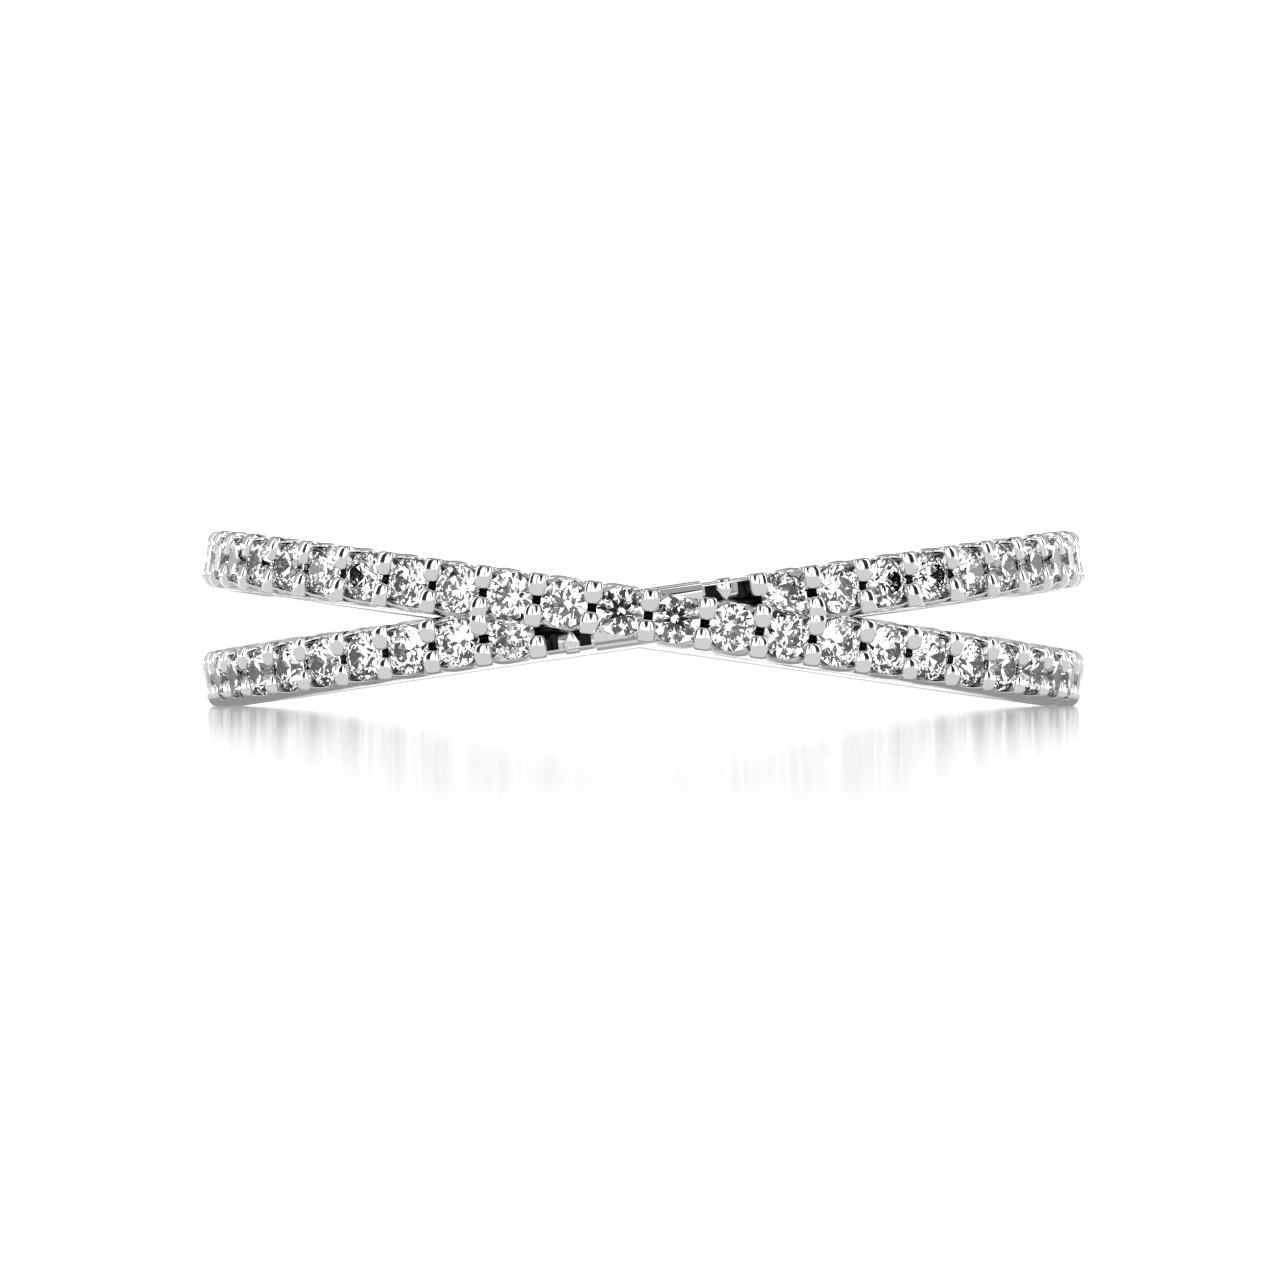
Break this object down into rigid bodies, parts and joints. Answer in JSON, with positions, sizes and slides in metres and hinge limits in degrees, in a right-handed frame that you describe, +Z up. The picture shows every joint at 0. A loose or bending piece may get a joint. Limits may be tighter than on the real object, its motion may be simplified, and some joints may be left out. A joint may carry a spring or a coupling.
{
  "type": "crossover ring",
  "caption": "Finger ring of two narrow hoops that lean opposite ways and cross at front and back, the front half set with round cut stones in paired prongs.",
  "frame": {"origin": "middle of the finger hole, on the table that the ring lies on", "axes": "+Z up along the finger axis, the stone-set front faces -Y, and the hoop that lies over falls towards +X at the front"},
  "size_m": [0.0202, 0.0204, 0.004],
  "materials": {
    "white_gold": "high polish white gold with a bright rhodium surface and fine hand-polishing lines",
    "cut_stone": "polished facets of a clear colourless round cut stone"
  },
  "bodies": {
    "root": {"crossed_hoops": "white_gold", "over_row_stones": "cut_stone", "under_row_stones": "cut_stone"}
  },
  "joints": []
}
